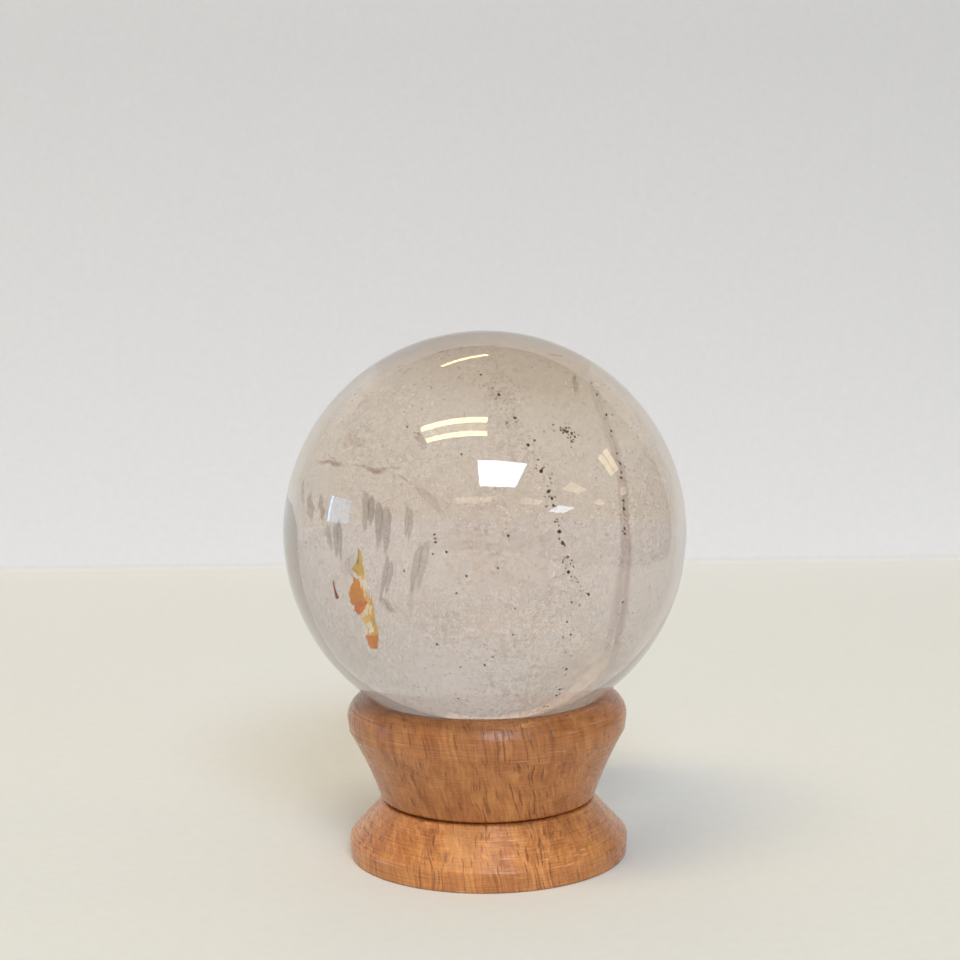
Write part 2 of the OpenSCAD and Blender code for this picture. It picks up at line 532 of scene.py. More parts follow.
def blade_surface(path, width, depth, waver=0.0, bow=0.02, thickness=0.002, rows=40, columns=14,
                  seed=0):
    """A thin solid that follows a path, with an ellipse for its section.

    At v from 0 to 1 along it and t round it: path + side width(v) cos t, at depth + thickness
    sin t. waver moves the path sideways by a few added sine waves, and bow bends it in depth.
    """
    rng = np.random.default_rng(seed)
    v, t = np.linspace(0, 1, rows), np.linspace(0, 2 * np.pi, columns, endpoint=False)
    middle = smooth_path(path, rows)
    slope = np.gradient(middle, axis=0)
    side = np.stack([slope[:, 1], -slope[:, 0]], -1) / np.linalg.norm(slope, axis=1, keepdims=True)
    waves = sum(np.sin(v * k * 2 * np.pi + rng.uniform(0, 6.3)) / k for k in (2, 3, 5, 8))
    middle = middle + side * (waver * waves)[:, None]
    half = np.interp(v, np.linspace(0, 1, len(width)), width)
    deep = np.interp(v, [0, 1], depth)[:, None] + bow * np.cos(t) ** 2 + thickness * np.sin(t)
    spot = middle[:, None, :] + side[:, None, :] * (half[:, None] * np.cos(t))[..., None]
    own = np.stack(np.broadcast_arrays((np.cos(t)[None, :] + 1) / 2, v[:, None]), -1)
    points = with_poles(seen_at(spot[..., 0], spot[..., 1], deep))
    return points, closed_faces(rows, columns), with_poles(own)


def joined(surfaces, amounts):
    """Several surfaces as one, with an amount for each. Faces count on from a surface's first point."""
    counts = [len(points) for points, _, _ in surfaces]
    starts = np.cumsum([0] + counts[:-1])
    faces = [[corner + start for corner in face]
             for (_, shell, _), start in zip(surfaces, starts) for face in shell]
    points = np.concatenate([points for points, _, _ in surfaces])
    flat = np.concatenate([flat for _, _, flat in surfaces])
    return points, faces, flat, np.repeat(amounts, counts)


# %% [markdown]
# ## Ragged veil
#
# Every crack in the stone fades out at its rim and is torn along its length, so
# this effect is a node group with named inputs. It reads where it is on the
# blade, makes a soft bump across and along it, and lets streaky noise eat into
# that. What comes out is a value from 0, nothing there, to 1.

# %% Ragged veil group
def new_group(name, inputs, output):
    """An empty group with these float inputs and one float output, and where the inputs come in."""
    group = bpy.data.node_groups.new(name, "ShaderNodeTree")
    for socket, value in inputs.items():
        made = group.interface.new_socket(socket, in_out="INPUT", socket_type="NodeSocketFloat")
        made.default_value = value
    group.interface.new_socket(output, in_out="OUTPUT", socket_type="NodeSocketFloat")
    return group, group.nodes.new("NodeGroupInput").outputs


def use_group(tree, group, inputs):
    """The output of a node group placed in this tree with these values."""
    made = tree.nodes.new("ShaderNodeGroup")
    made.node_tree = group
    return fill_inputs(tree, made, inputs).outputs[0]


veil_inputs = {"Strength": 0.5, "Streaks": 4.0, "Broken": 0.45, "Edge": 2.5}
veil_group, given = new_group("ragged veil", veil_inputs, "Mask")
flat_place = place(veil_group, "UVMap", uv_map="flat").outputs["UV"]
own = place(veil_group, "SeparateXYZ", {0: flat_place}).outputs
fade = [product(veil_group, own[axis], arithmetic(veil_group, "SUBTRACT", 1.0, own[axis]))
        for axis in (0, 1)]
rise = product(veil_group, *fade, 16.0)
rise = arithmetic(veil_group, "MULTIPLY", rise, given["Edge"], clamp=True)
grainy = scaled(veil_group, object_place(veil_group), (160.0, 160.0, 160.0))
solid = place(veil_group, "SeparateXYZ", {0: grainy}).outputs
across = product(veil_group, own[0], given["Streaks"])
along = product(veil_group, own[1], product(veil_group, given["Streaks"], 0.35))
streaky = place(veil_group, "CombineXYZ", {0: across, 1: along, 2: solid[0]}).outputs[0]
torn = arithmetic(veil_group, "SUBTRACT", noise(veil_group, streaky, 1.0, 4.0, 0.6), given["Broken"])
thin = arithmetic(veil_group, "SUBTRACT", rise, 0.4)
torn = arithmetic(veil_group, "MULTIPLY_ADD", torn, 3.2, thin, clamp=True)
local = place(veil_group, "Attribute", attribute_name="amount").outputs["Fac"]
mask = product(veil_group, torn, rise, local, given["Strength"])
veil_group.links.new(mask, veil_group.nodes.new("NodeGroupOutput").inputs["Mask"])


def veil_material(name, colour, **inputs):
    """A matt colour, a little uneven, that shows only where the ragged veil's mask lets it."""
    material, tree, shader = new_material(name)
    tint = noise(tree, object_place(tree), 500.0)
    darker = tuple(0.82 * c for c in colour)
    lighter = tuple(min(1.0, 1.18 * c) for c in colour)
    tree.links.new(ramp(tree, tint, (0.3, darker), (0.7, lighter)), shader.inputs["Base Color"])
    tree.links.new(use_group(tree, veil_group, inputs), shader.inputs["Alpha"])
    shader.inputs["Roughness"].default_value = 0.8
    return material


def blade_piece(name, blades, material, slot_name, **shape):
    """One piece of several blades, each given as (path, widths, amount)."""
    surfaces = [blade_surface(path, width, seed=n, **shape)
                for n, (path, width, _) in enumerate(blades)]
    points, faces, flat, amount = joined(surfaces, [blade[2] for blade in blades])
    piece = make_piece(name, points, faces, flat, amount=amount)
    return finish_piece(piece, material, slot_name)


# %% [markdown]
# ## Veils that span the stone
#
# Seen close to, the stone is hazy, sandy and milky: minute bubbles and grains lie
# on old healed cracks that span it. They are too many to build one by one, so
# they are a pattern on one large thin-skinned form inside the stone, shaped like
# a lens. Its front and back skins are two veils at different depths, which slide
# over one another as the view moves. The pattern is solid noise, so each skin
# cuts it elsewhere. How much of it shows is stored at each point as a sum of soft
# spots, one sum each for the haze, the brown sand and the milk. Bubbles that
# small send more light on than back, so the veils let most of it through, widely
# spread.

# %% Speckle group
speckle_group, given = new_group("speckle", {"Scale": 1400.0, "Amount": 0.2, "Size": 0.35}, "Mask")
cell_inputs = {"Vector": object_place(speckle_group), "Scale": given["Scale"]}
cells = place(speckle_group, "TexVoronoi", cell_inputs)
lot = place(speckle_group, "SeparateColor", {0: cells.outputs["Color"]}).outputs
size = product(speckle_group, given["Size"], arithmetic(speckle_group, "ADD", lot[1], 0.4))
dot = arithmetic(speckle_group, "SUBTRACT", size, cells.outputs["Distance"])
dot = arithmetic(speckle_group, "MULTIPLY", dot, 5.0, clamp=True)
kept = arithmetic(speckle_group, "LESS_THAN", lot[0], given["Amount"])
dots = product(speckle_group, dot, kept)
speckle_group.links.new(dots, speckle_group.nodes.new("NodeGroupOutput").inputs["Mask"])


# %% Sand and milk
HAZE_LOW, HAZE_HIGH, MILK = (0.97, 0.81, 0.65), (0.95, 0.81, 0.76), (1.0, 0.94, 0.88)
SAND, DARK_SAND = (0.50, 0.37, 0.30), (0.24, 0.15, 0.10)
HAZE_SHARE, SAND_SHARE, MILK_SHARE, DOTS_SHARE = 0.34, 0.46, 0.36, 0.30

sandy_milk, tree, shader = new_material("sandy and milky veils")
solid = object_place(tree)
sand_here = place(tree, "Attribute", attribute_name="sand").outputs["Fac"]
milk_here = place(tree, "Attribute", attribute_name="milk").outputs["Fac"]
patchy = stretch(tree, noise(tree, solid, 190.0, 5.0, 0.6), 0.36, 0.62, 0.25, 1.0)
gritty = stretch(tree, noise(tree, solid, 1500.0, 4.0, 0.65), 0.47, 0.66)
sand_part = product(tree, gritty, patchy, sand_here, SAND_SHARE)
drawn_up = scaled(tree, solid, (1.0, 1.0, 0.55))
wispy = stretch(tree, noise(tree, drawn_up, 520.0, 5.0, 0.62), 0.47, 0.68)
milk_part = product(tree, wispy, milk_here, MILK_SHARE)
crowd = product(tree, sand_here, 0.28)
dots = use_group(tree, speckle_group, {"Scale": 1900.0, "Amount": crowd, "Size": 0.36})
dots_part = product(tree, dots, DOTS_SHARE)
haze_here = place(tree, "Attribute", attribute_name="haze").outputs["Fac"]
total = product(tree, haze_here, HAZE_SHARE)
height = place(tree, "SeparateXYZ", {0: solid}).outputs[2]
tenths = product(tree, height, 10.0)  # of a metre, so the haze changes from 35 to 80 mm up
colour = ramp(tree, tenths, (0.35, HAZE_LOW), (0.80, HAZE_HIGH))
for part, tint in ((sand_part, SAND), (milk_part, MILK), (dots_part, DARK_SAND)):
    total = arithmetic(tree, "ADD", total, part, clamp=True)
    share = arithmetic(tree, "DIVIDE", part, arithmetic(tree, "MAXIMUM", total, 0.001))
    colour = blend(tree, share, colour, tint)
tree.links.new(colour, shader.inputs["Base Color"])
tree.links.new(total, shader.inputs["Alpha"])
shader.inputs["Transmission Weight"].default_value = 0.65
shader.inputs["IOR"].default_value = 1.25
shader.inputs["Roughness"].default_value = 1.0
shader.inputs["Specular IOR Level"].default_value = 0.1


# %% Veils that span the stone
def soft_spots(across, up, base, spots):
    """base plus a soft hump at each (across, up, half width, half height, turn in degrees, amount)."""
    total = np.full_like(across, base)
    for middle_x, middle_y, wide, high, turn, weight in spots:
        c, s = math.cos(math.radians(turn)), math.sin(math.radians(turn))
        x, y = across - middle_x, up - middle_y
        away = ((c * x + s * y) / wide) ** 2 + ((c * y - s * x) / high) ** 2
        total += weight * np.exp(-away ** 1.5)
    return np.clip(total, 0, 1)


SAND_SPOTS = [
    (0.20, -0.55, 0.26, 0.45, 0, 0.50), (0.12, 0.02, 0.24, 0.32, 0, 0.62),
    (0.14, 0.52, 0.12, 0.28, 25, 0.60), (-0.24, -0.45, 0.11, 0.10, 0, 0.50),
    (-0.38, 0.38, 0.34, 0.34, 0, 0.40), (0.02, -0.88, 0.50, 0.12, 0, 0.36),
    (0.79, 0.12, 0.09, 0.36, 0, 0.35), (-0.62, 0.46, 0.12, 0.12, 0, 0.50),
    (0.565, 0.76, 0.03, 0.11, 0, 0.60), (-0.85, 0.08, 0.07, 0.18, 0, 0.45),
    (0.02, -0.28, 0.42, 0.30, 0, 0.50),
]
MILK_SPOTS = [
    (-0.56, -0.45, 0.22, 0.26, 0, 0.70), (-0.12, 0.20, 0.10, 0.26, 35, 0.50),
    (0.50, -0.30, 0.07, 0.48, 4, 0.80), (0.45, 0.30, 0.09, 0.17, 28, 0.50),
    (-0.35, -0.33, 0.13, 0.14, 0, 0.60), (0.86, 0.38, 0.05, 0.18, 20, 0.65),
    (-0.50, -0.74, 0.10, 0.09, 0, 0.70), (-0.55, 0.62, 0.26, 0.18, 0, 0.30),
    (0.05, -0.18, 0.28, 0.12, 0, 0.30), (-0.22, 0.43, 0.15, 0.07, -20, 0.60),
]
HAZE_SPOTS = [
    (0.0, 0.02, 0.85, 0.28, 0, 0.18), (0.05, 0.60, 0.60, 0.30, 0, -0.10),
    (0.45, -0.78, 0.28, 0.18, 42, 0.50), (-0.10, -0.82, 0.60, 0.18, 0, -0.22),
    (0.0, -0.28, 0.42, 0.26, 0, 0.18),
]
VEIL_RIM, VEIL_DEPTH, VEIL_HALF = 0.982, 0.33, 0.16


def wavy_depth(across, up):
    """A depth that swings gently over the face, as two long waves."""
    return VEIL_DEPTH + 0.05 * (np.sin(2.3 * across + 1.4 * up + 0.6) + np.sin(1.9 * up - 1.6 * across))


VEIL_STEPS = 96
around = np.linspace(0, 2 * np.pi, VEIL_STEPS, endpoint=False)
rim = [(VEIL_RIM * math.cos(a), VEIL_RIM * math.sin(a)) for a in around]
points, faces, flat = lens_surface(rim, wavy_depth, VEIL_HALF, rings=44, steps=VEIL_STEPS)
across, up = flat.T
fading = np.clip((VEIL_RIM - np.hypot(across, up)) / 0.045, 0, 1)
amounts = {"haze": (0.58, HAZE_SPOTS), "sand": (0.26, SAND_SPOTS), "milk": (0.20, MILK_SPOTS)}
marks = {mark: soft_spots(across, up, *spots) * fading for mark, spots in amounts.items()}
veils = make_piece("veils", points, faces, **marks)
finish_piece(veils, sandy_milk, "veil")

# %% [markdown]
# ## The iron-stained flake
#
# The one strong colour in the stone is a broken flake low on the left, where
# water carried iron into a crack. It is made of thin chips that overlap, from a
# golden tip through orange to a rust foot, with pale torn scraps just in front
# of them. The scraps are real, but their cream colour and strong glow are
# painted glints off the crack. Each chip is a lens with an angular outline, and
# its tint runs from gold, at 0, through amber, orange and rust to cream, at 1.
# Light comes through so thin a film as well as off it, and a weak glow of its
# own, which is painted light, stands in for that.

# %% Iron-stained flake
GOLD, AMBER, ORANGE = (0.84, 0.54, 0.14), (1.0, 0.64, 0.22), (0.96, 0.38, 0.08)
RUST, GLINT_CREAM = (0.90, 0.25, 0.05), (1.0, 0.90, 0.72)
FLAKE_CHIPS = [
    ([(-0.625, -0.075), (-0.61, -0.125), (-0.598, -0.19), (-0.598, -0.235), (-0.62, -0.225),
      (-0.638, -0.205), (-0.664, -0.185), (-0.638, -0.16), (-0.631, -0.125)], 0.0),
    ([(-0.658, -0.205), (-0.640, -0.235), (-0.618, -0.225), (-0.600, -0.28), (-0.592, -0.345),
      (-0.632, -0.357), (-0.662, -0.362), (-0.676, -0.30), (-0.668, -0.275), (-0.645, -0.245)], 0.5),
    ([(-0.642, -0.345), (-0.648, -0.387), (-0.625, -0.412), (-0.597, -0.390), (-0.580, -0.350),
      (-0.596, -0.328)], 0.74),
    ([(-0.625, -0.215), (-0.598, -0.205), (-0.583, -0.25), (-0.572, -0.31), (-0.566, -0.345),
      (-0.590, -0.35), (-0.604, -0.29)], 0.28),
    ([(-0.615, -0.415), (-0.596, -0.375), (-0.560, -0.325), (-0.548, -0.38), (-0.543, -0.438),
      (-0.55, -0.475), (-0.588, -0.46)], 0.22),
    ([(-0.592, -0.45), (-0.547, -0.437), (-0.526, -0.487), (-0.530, -0.520), (-0.569, -0.520),
      (-0.584, -0.487)], 0.10),
    ([(-0.590, -0.505), (-0.56, -0.512), (-0.528, -0.505), (-0.526, -0.541), (-0.531, -0.58),
      (-0.568, -0.58), (-0.580, -0.546)], 0.58),
]
FLAKE_SCRAPS = [
    ([(-0.594, -0.207), (-0.586, -0.243), (-0.566, -0.307), (-0.570, -0.334), (-0.582, -0.300),
      (-0.597, -0.243)], 1.0),
    ([(-0.626, -0.216), (-0.610, -0.222), (-0.606, -0.26), (-0.612, -0.285), (-0.620, -0.25)], 1.0),
    ([(-0.604, -0.235), (-0.596, -0.255), (-0.588, -0.315), (-0.596, -0.325), (-0.603, -0.28)], 0.95),
    ([(-0.592, -0.405), (-0.580, -0.36), (-0.573, -0.365), (-0.583, -0.415)], 0.92),
    ([(-0.606, -0.415), (-0.595, -0.385), (-0.589, -0.39), (-0.597, -0.425)], 0.92),
    ([(-0.572, -0.40), (-0.565, -0.365), (-0.560, -0.37), (-0.566, -0.41)], 0.92),
    ([(-0.584, -0.452), (-0.572, -0.448), (-0.568, -0.468), (-0.582, -0.476)], 1.0),
    ([(-0.592, -0.485), (-0.580, -0.480), (-0.582, -0.510), (-0.598, -0.520)], 1.0),
    ([(-0.562, -0.478), (-0.552, -0.472), (-0.550, -0.495), (-0.560, -0.50)], 1.0),
    ([(-0.576, -0.462), (-0.566, -0.448), (-0.558, -0.465), (-0.562, -0.500), (-0.572, -0.512)], 0.95),
]


def flake_depth(across, up):
    """The depth of the flake's face, which leans back to the right and waves a little."""
    return 0.10 + 0.10 * (across + 0.6) + 0.03 * np.sin(9 * up)


def scrap_depth(across, up):
    """The depth of the scraps, just in front of the flake."""
    return flake_depth(across, up) - 0.012


def flake_lenses(shapes, depth, thickness, ragged, first_seed):
    """A thin lens for each shape's outline, torn a little at its edge."""
    return [lens_surface(outline, depth, thickness, ragged=ragged, seed=first_seed + n)
            for n, (outline, _) in enumerate(shapes)]


chips = flake_lenses(FLAKE_CHIPS, flake_depth, 0.004, 0.0028, 0)
scraps = flake_lenses(FLAKE_SCRAPS, scrap_depth, 0.002, 0.0035, 50)

# %% Iron stain
# Painted light: a glow for each tint, strongest on the cream scraps, whose glints it paints.
PAINTED_GLOW_LEVELS = [(0.0, 0.3), (0.3, 0.5), (0.5, 0.3), (0.74, 0.24), (0.92, 1.0)]  # tint, and its glow

stain, tree, shader = new_material("iron stain")
tint = place(tree, "Attribute", attribute_name="amount").outputs["Fac"]
flat_place = place(tree, "UVMap", uv_map="flat").outputs["UV"]
mottle = noise(tree, scaled(tree, flat_place, (1.0, 0.6, 1.0)), 90.0, 4.0, 0.6)
uneven = arithmetic(tree, "SUBTRACT", mottle, 0.5)
tint = arithmetic(tree, "MULTIPLY_ADD", uneven, 0.45, tint, clamp=True)
shade = ramp(tree, tint, (0.0, GOLD), (0.25, AMBER), (0.50, ORANGE), (0.74, RUST), (0.90, GLINT_CREAM),
             (1.0, GLINT_CREAM))
tree.links.new(shade, shader.inputs["Base Color"])
glow = ramp(tree, tint, *[(at, grey(level)) for at, level in PAINTED_GLOW_LEVELS])
tree.links.new(times(tree, shade, glow), shader.inputs["Emission Color"])
shader.inputs["Emission Strength"].default_value = 0.26
shader.inputs["Roughness"].default_value = 0.6
lumps = place(tree, "Bump", {"Height": mottle, "Strength": 0.3, "Distance": 0.0003}).outputs["Normal"]
tree.links.new(lumps, shader.inputs["Normal"])
tints = [tint for _, tint in FLAKE_CHIPS + FLAKE_SCRAPS]
points, faces, flat, amount = joined(chips + scraps, tints)
finish_piece(make_piece("iron_flake", points, faces, flat, amount=amount), stain, "iron_stain")

# %% Rust streak
rust = veil_material("rust streak", (0.50, 0.12, 0.05), Strength=0.95, Streaks=3.0, Broken=0.30,
                     Edge=5.0)
RUST_STREAKS = [([(-0.752, -0.24), (-0.742, -0.29), (-0.728, -0.335)], (0.003, 0.005, 0.010), 1.0)]
blade_piece("rust_streak", RUST_STREAKS, rust, "iron_stain", depth=(0.15, 0.17), bow=0.0)

# %% [markdown]
# ## Dark grains
#
# Two lines of dark grains run down the stone, where growth once paused and dust
# settled on the crystal's face. The larger grains of each line have places and
# sizes of their own, at uneven steps, and finer ones lie at random about the
# line. Others lie alone, in one small cluster, or loosely scattered through the
# lower middle. Grains near the rim lie close under the skin, because the lens
# there would stretch deep ones into streaks.

# %% Dark grains
LINE_ONE = [
    (-0.02, 0.78), (0.07, 0.68), (0.15, 0.565), (0.215, 0.43), (0.28, 0.30), (0.316, 0.20),
    (0.333, 0.165), (0.34, 0.13), (0.37, 0.0), (0.385, -0.055), (0.414, -0.20), (0.513, -0.31),
    (0.43, -0.35), (0.426, -0.51), (0.404, -0.68), (0.37, -0.78), (0.355, -0.81), (0.31, -0.865),
]
SIZES_ONE = [
    0.30, 0.34, 0.38, 0.42, 0.44, 0.38, 0.36, 0.32, 0.36, 0.36, 0.42, 0.34, 0.28, 0.30, 0.30, 0.34,
    0.30, 0.26,
]
LINE_TWO = [
    (0.53, 0.74), (0.557, 0.68), (0.604, 0.58), (0.628, 0.50), (0.671, 0.34), (0.677, 0.295),
    (0.678, 0.267), (0.687, 0.156), (0.691, 0.114), (0.692, 0.018), (0.694, -0.01), (0.684, -0.35),
]
SIZES_TWO = [0.28, 0.30, 0.32, 0.30, 0.26, 0.26, 0.26, 0.28, 0.34, 0.28, 0.26, 0.28]
LONE_GRAINS = [
    (-0.25, -0.014), (-0.246, -0.033), (-0.244, -0.052), (-0.258, -0.11), (-0.19, -0.10),
    (-0.237, -0.558), (0.15, -0.38), (0.0, -0.66), (-0.12, -0.67), (-0.132, -0.825), (-0.255, 0.91),
    (-0.21, 0.895), (-0.385, 0.52), (-0.645, 0.68), (0.14, -0.51), (0.04, -0.62), (-0.115, 0.385),
    (0.116, -0.02), (0.066, -0.18), (-0.09, -0.22), (-0.14, -0.305), (-0.40, -0.194),
    (-0.327, 0.484),
]
CLUSTER = [
    (0.365, 0.505), (0.385, 0.515), (0.40, 0.50), (0.412, 0.515), (0.427, 0.48), (0.43, 0.455),
    (0.438, 0.44),
]
grain_rng = np.random.default_rng(11)


def along_line(line, count, scatter):
    """Points at random places between the grains of a line, each moved a little to the side."""
    t = np.sort(grain_rng.uniform(0, len(line) - 1, count))
    known = np.arange(len(line))
    spots = np.stack([np.interp(t, known, axis) for axis in np.array(line).T], -1)
    return spots + grain_rng.normal(scale=scatter, size=spots.shape)


def grain_piece(name, spots, sizes, material, slot_name, depth=(0.14, 0.30)):
    """Grains seen at these spots. sizes is a range, or one for each, in mm."""
    room = np.clip(1 - (spots ** 2).sum(1), 0.02, 1)
    places = seen_at(spots[:, 0], spots[:, 1], 0.03 + room * grain_rng.uniform(*depth, len(spots)))
    sizes = (grain_rng.uniform(*sizes, len(spots)) if len(sizes) == 2 else np.array(sizes)) * MM
    deep_enough = np.linalg.norm(places - ball_centre, axis=1) < ball_r - 0.5 * MM
    surface = grain_surfaces(places[deep_enough], sizes[deep_enough], 0.5, grain_rng)
    return finish_piece(make_piece(name, *surface, smooth=False), material, slot_name)


def grain_material(name, low, high):
    """A matt colour that varies from grain to grain."""
    material, tree, shader = new_material(name)
    colour = ramp(tree, noise(tree, object_place(tree), 700.0), (0.35, low), (0.66, high))
    tree.links.new(colour, shader.inputs["Base Color"])
    shader.inputs["Roughness"].default_value = 0.6
    return material


dark = grain_material("dark grains", (0.025, 0.012, 0.008), (0.10, 0.04, 0.016))
line_spots, line_sizes = np.array(LINE_ONE + LINE_TWO), SIZES_ONE + SIZES_TWO
grain_piece("line_grains", line_spots, line_sizes, dark, "dark_grains", (0.04, 0.08))
grain_piece("lone_grains", np.array(LONE_GRAINS), (0.18, 0.27), dark, "dark_grains", (0.06, 0.12))
small = [along_line(LINE_ONE, 80, 0.018), along_line(LINE_TWO, 24, 0.005),
         along_line(CLUSTER, 44, 0.014)]
brown = grain_material("brown grains", (0.10, 0.05, 0.03), (0.30, 0.17, 0.10))
grain_piece("brown_grains", np.concatenate(small), (0.12, 0.24), brown, "dark_grains", (0.08, 0.16))
scattered = grain_rng.normal(scale=(0.34, 0.40), size=(420, 2)) + (0.05, -0.25)
scattered = scattered[np.hypot(scattered[:, 0], scattered[:, 1]) < 0.88]
grain_piece("loose_grains", scattered, (0.05, 0.12), brown, "dark_grains")

# %% [markdown]
# ## Feathers, cracks and smoke
#
# On the left, healed cracks hang like mauve feathers, each a pair of narrow
# blades with streaks along them, and brown smudges lie between. A thin brown
# crack wanders across above them in short lengths. A band of smoke follows the
# second line of grains down the right side. All are blades, and only their paths,
# widths, depths and tints differ. The last number of each is how strongly it
# shows.

# %% Bundles of strands
strand_rng = np.random.default_rng(23)


def bundle(feathers, count=2):
    """Each feather as a few slimmer ones that overlap, whose ends and strengths differ at random."""
    strands = []
    for path, width, amount in feathers:
        fine, half = smooth_path(path, 60), max(width)
        for side in np.linspace(-0.45, 0.45, count) * half:
            first, last = strand_rng.integers(0, 12), strand_rng.integers(46, 60)
            slim = half * strand_rng.uniform(0.55, 0.80)
            line = fine[[first, (first + last) // 2, last]] + (side, 0)
            widths = (0.55 * slim, slim, 0.8 * slim, 0.3 * slim)
            strands.append((line, widths, amount * strand_rng.uniform(0.7, 1.0)))
    return strands


# %% Feathers
FEATHERS = [
    ([(-0.575, 0.21), (-0.577, 0.10), (-0.583, -0.03)], (0.026, 0.030, 0.024), 1.0),
    ([(-0.512, 0.18), (-0.505, 0.04), (-0.518, -0.19)], (0.024, 0.042, 0.042), 1.0),
    ([(-0.735, 0.07), (-0.727, -0.06), (-0.720, -0.20)], (0.022, 0.020, 0.010), 1.0),
    ([(-0.778, 0.05), (-0.770, -0.04), (-0.752, -0.11)], (0.010, 0.012, 0.006), 0.8),
    ([(-0.466, -0.10), (-0.485, -0.22), (-0.512, -0.37)], (0.016, 0.026, 0.020), 0.8),
    ([(-0.512, -0.32), (-0.480, -0.37), (-0.445, -0.41)], (0.014, 0.018, 0.010), 0.7),
    ([(-0.372, 0.17), (-0.378, 0.04), (-0.394, -0.08)], (0.014, 0.020, 0.010), 0.75),
    ([(-0.292, -0.03), (-0.325, -0.16), (-0.352, -0.32)], (0.010, 0.034, 0.026), 0.7),
    ([(-0.660, -0.09), (-0.672, -0.17), (-0.665, -0.26)], (0.014, 0.022, 0.014), 0.5),
]
mauve = veil_material("feather mauve", (0.42, 0.31, 0.27), Strength=0.28, Streaks=2.0, Broken=0.26,
                      Edge=2.6)
blade_piece("feathers", bundle(FEATHERS), mauve, "veil", depth=(0.10, 0.14), waver=0.002, bow=0.01)

# %% Smudges
SMUDGES = [
    ([(-0.87, 0.21), (-0.865, 0.12), (-0.86, 0.04)], (0.010, 0.022, 0.014), 1.0),
    ([(-0.815, 0.20), (-0.81, 0.12), (-0.80, 0.04)], (0.008, 0.016, 0.010), 0.9),
    ([(-0.68, 0.50), (-0.64, 0.45), (-0.58, 0.42)], (0.020, 0.035, 0.020), 0.5),
    ([(-0.62, 0.335), (-0.545, 0.30), (-0.47, 0.315)], (0.012, 0.020, 0.012), 1.0),
    ([(-0.84, 0.34), (-0.76, 0.345), (-0.68, 0.325)], (0.008, 0.014, 0.010), 0.8),
    ([(-0.36, 0.49), (-0.31, 0.45), (-0.27, 0.43)], (0.012, 0.022, 0.014), 0.7),
    ([(0.44, 0.79), (0.45, 0.73), (0.46, 0.67)], (0.014, 0.016, 0.010), 0.9),
    ([(-0.36, 0.24), (-0.28, 0.17), (-0.18, 0.06)], (0.014, 0.030, 0.016), 0.5),
    ([(-0.36, -0.24), (-0.37, -0.35), (-0.36, -0.42)], (0.012, 0.022, 0.010), 0.4),
]
smudge = veil_material("brown smudge", (0.50, 0.27, 0.18), Strength=0.26, Streaks=2.4, Broken=0.38,
                       Edge=1.6)
blade_piece("smudges", SMUDGES, smudge, "veil", depth=(0.10, 0.14), waver=0.005, bow=0.01)

# %% Cracks
CRACKS = [
    ([(-0.86, 0.345), (-0.80, 0.35), (-0.75, 0.335), (-0.69, 0.322)],
     (0.003, 0.006, 0.011, 0.006), 1.0),
    ([(-0.79, 0.39), (-0.755, 0.365), (-0.73, 0.345)], (0.003, 0.006, 0.004), 0.8),
    ([(-0.665, 0.335), (-0.62, 0.328), (-0.575, 0.325)], (0.005, 0.007, 0.005), 0.7),
    ([(-0.57, 0.312), (-0.545, 0.296), (-0.51, 0.302)], (0.004, 0.008, 0.004), 0.9),
    ([(-0.50, 0.31), (-0.45, 0.316), (-0.405, 0.312)], (0.004, 0.008, 0.003), 0.9),
    ([(-0.435, 0.29), (-0.40, 0.262), (-0.365, 0.24)], (0.004, 0.007, 0.004), 0.9),
    ([(-0.89, 0.29), (-0.905, 0.20), (-0.895, 0.10)], (0.004, 0.007, 0.004), 0.9),
    ([(-0.42, 0.77), (-0.385, 0.80), (-0.35, 0.825)], (0.003, 0.005, 0.003), 1.0),
    ([(0.285, 0.885), (0.35, 0.878), (0.415, 0.862)], (0.003, 0.008, 0.004), 1.0),
    ([(-0.36, 0.495), (-0.33, 0.485), (-0.305, 0.47)], (0.004, 0.007, 0.004), 1.0),
    ([(-0.295, 0.475), (-0.275, 0.462), (-0.255, 0.447)], (0.004, 0.007, 0.004), 1.0),
    ([(-0.335, 0.437), (-0.31, 0.42), (-0.285, 0.412)], (0.003, 0.006, 0.004), 0.9),
    ([(-0.17, -0.015), (-0.20, 0.0)], (0.003, 0.004), 0.4),
]
crack_brown = veil_material("crack brown", (0.58, 0.32, 0.19), Strength=0.28, Streaks=3.0,
                            Broken=0.42, Edge=1.6)
blade_piece("cracks", CRACKS, crack_brown, "veil", depth=(0.08, 0.10), waver=0.004, bow=0.0,
            rows=30, columns=10)

# %% Smoke band
SMOKE = [
    ([(0.50, 0.80), (0.552, 0.667), (0.618, 0.50), (0.677, 0.287), (0.692, 0.12), (0.695, -0.01),
      (0.698, -0.13), (0.676, -0.343), (0.643, -0.508), (0.602, -0.674), (0.56, -0.80)],
     (0.014, 0.030, 0.036, 0.032, 0.030, 0.032, 0.038, 0.050, 0.058, 0.054, 0.036), 1.0),
]
smoke_brown = veil_material("smoke band", (0.50, 0.29, 0.21), Strength=0.21, Streaks=3.0,
                            Broken=0.40, Edge=1.4)
blade_piece("smoke_band", SMOKE, smoke_brown, "veil", depth=(0.12, 0.15), waver=0.003, bow=0.01)

# %% [markdown]
# ## The stand
#
# The stand is one piece of hardwood turned on a lathe: a band and flare for the
# foot, a V groove cut with the point of a skew chisel, a cup that swells to the
# rim, and a bevel on which the ball rests. It is a profile carried round the
# axis, which is what a lathe does. The profile repeats the part's own sizes.

